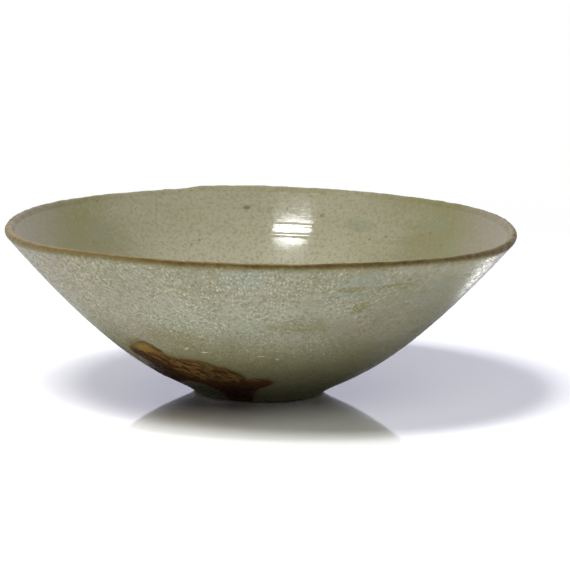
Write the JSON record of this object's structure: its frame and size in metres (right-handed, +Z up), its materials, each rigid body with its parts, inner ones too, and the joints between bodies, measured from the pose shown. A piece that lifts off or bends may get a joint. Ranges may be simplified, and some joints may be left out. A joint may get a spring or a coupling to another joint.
{
  "type": "bowl",
  "caption": "Shallow conical pottery bowl with a grey-green glaze, a thin brown lip and a small low foot with a bare clay ring.",
  "frame": {"origin": "centre of the foot ring on the plane of the table", "axes": "+Z up along the bowl's axis of turning, -Y towards the side with the burnt patch, +X to its right"},
  "size_m": [0.17, 0.17, 0.0573],
  "materials": {
    "stoneware_clay": "matt, fired grey clay flushed brown",
    "inner_celadon": "glossy grey-green celadon with pinholes",
    "outer_celadon": "glossy grey-green celadon, densely speckled",
    "brown_lip": "thin glossy iron brown",
    "base_celadon": "glossy grey-green celadon, pooled",
    "burnt_crust": "wrinkled half-gloss iron-brown crust"
  },
  "bodies": {
    "root": {"clay_body": "stoneware_clay", "inner_glaze": "inner_celadon", "outer_glaze": "outer_celadon", "lip_glaze": "brown_lip", "base_glaze": "base_celadon", "kiln_scar": "burnt_crust"}
  },
  "joints": []
}
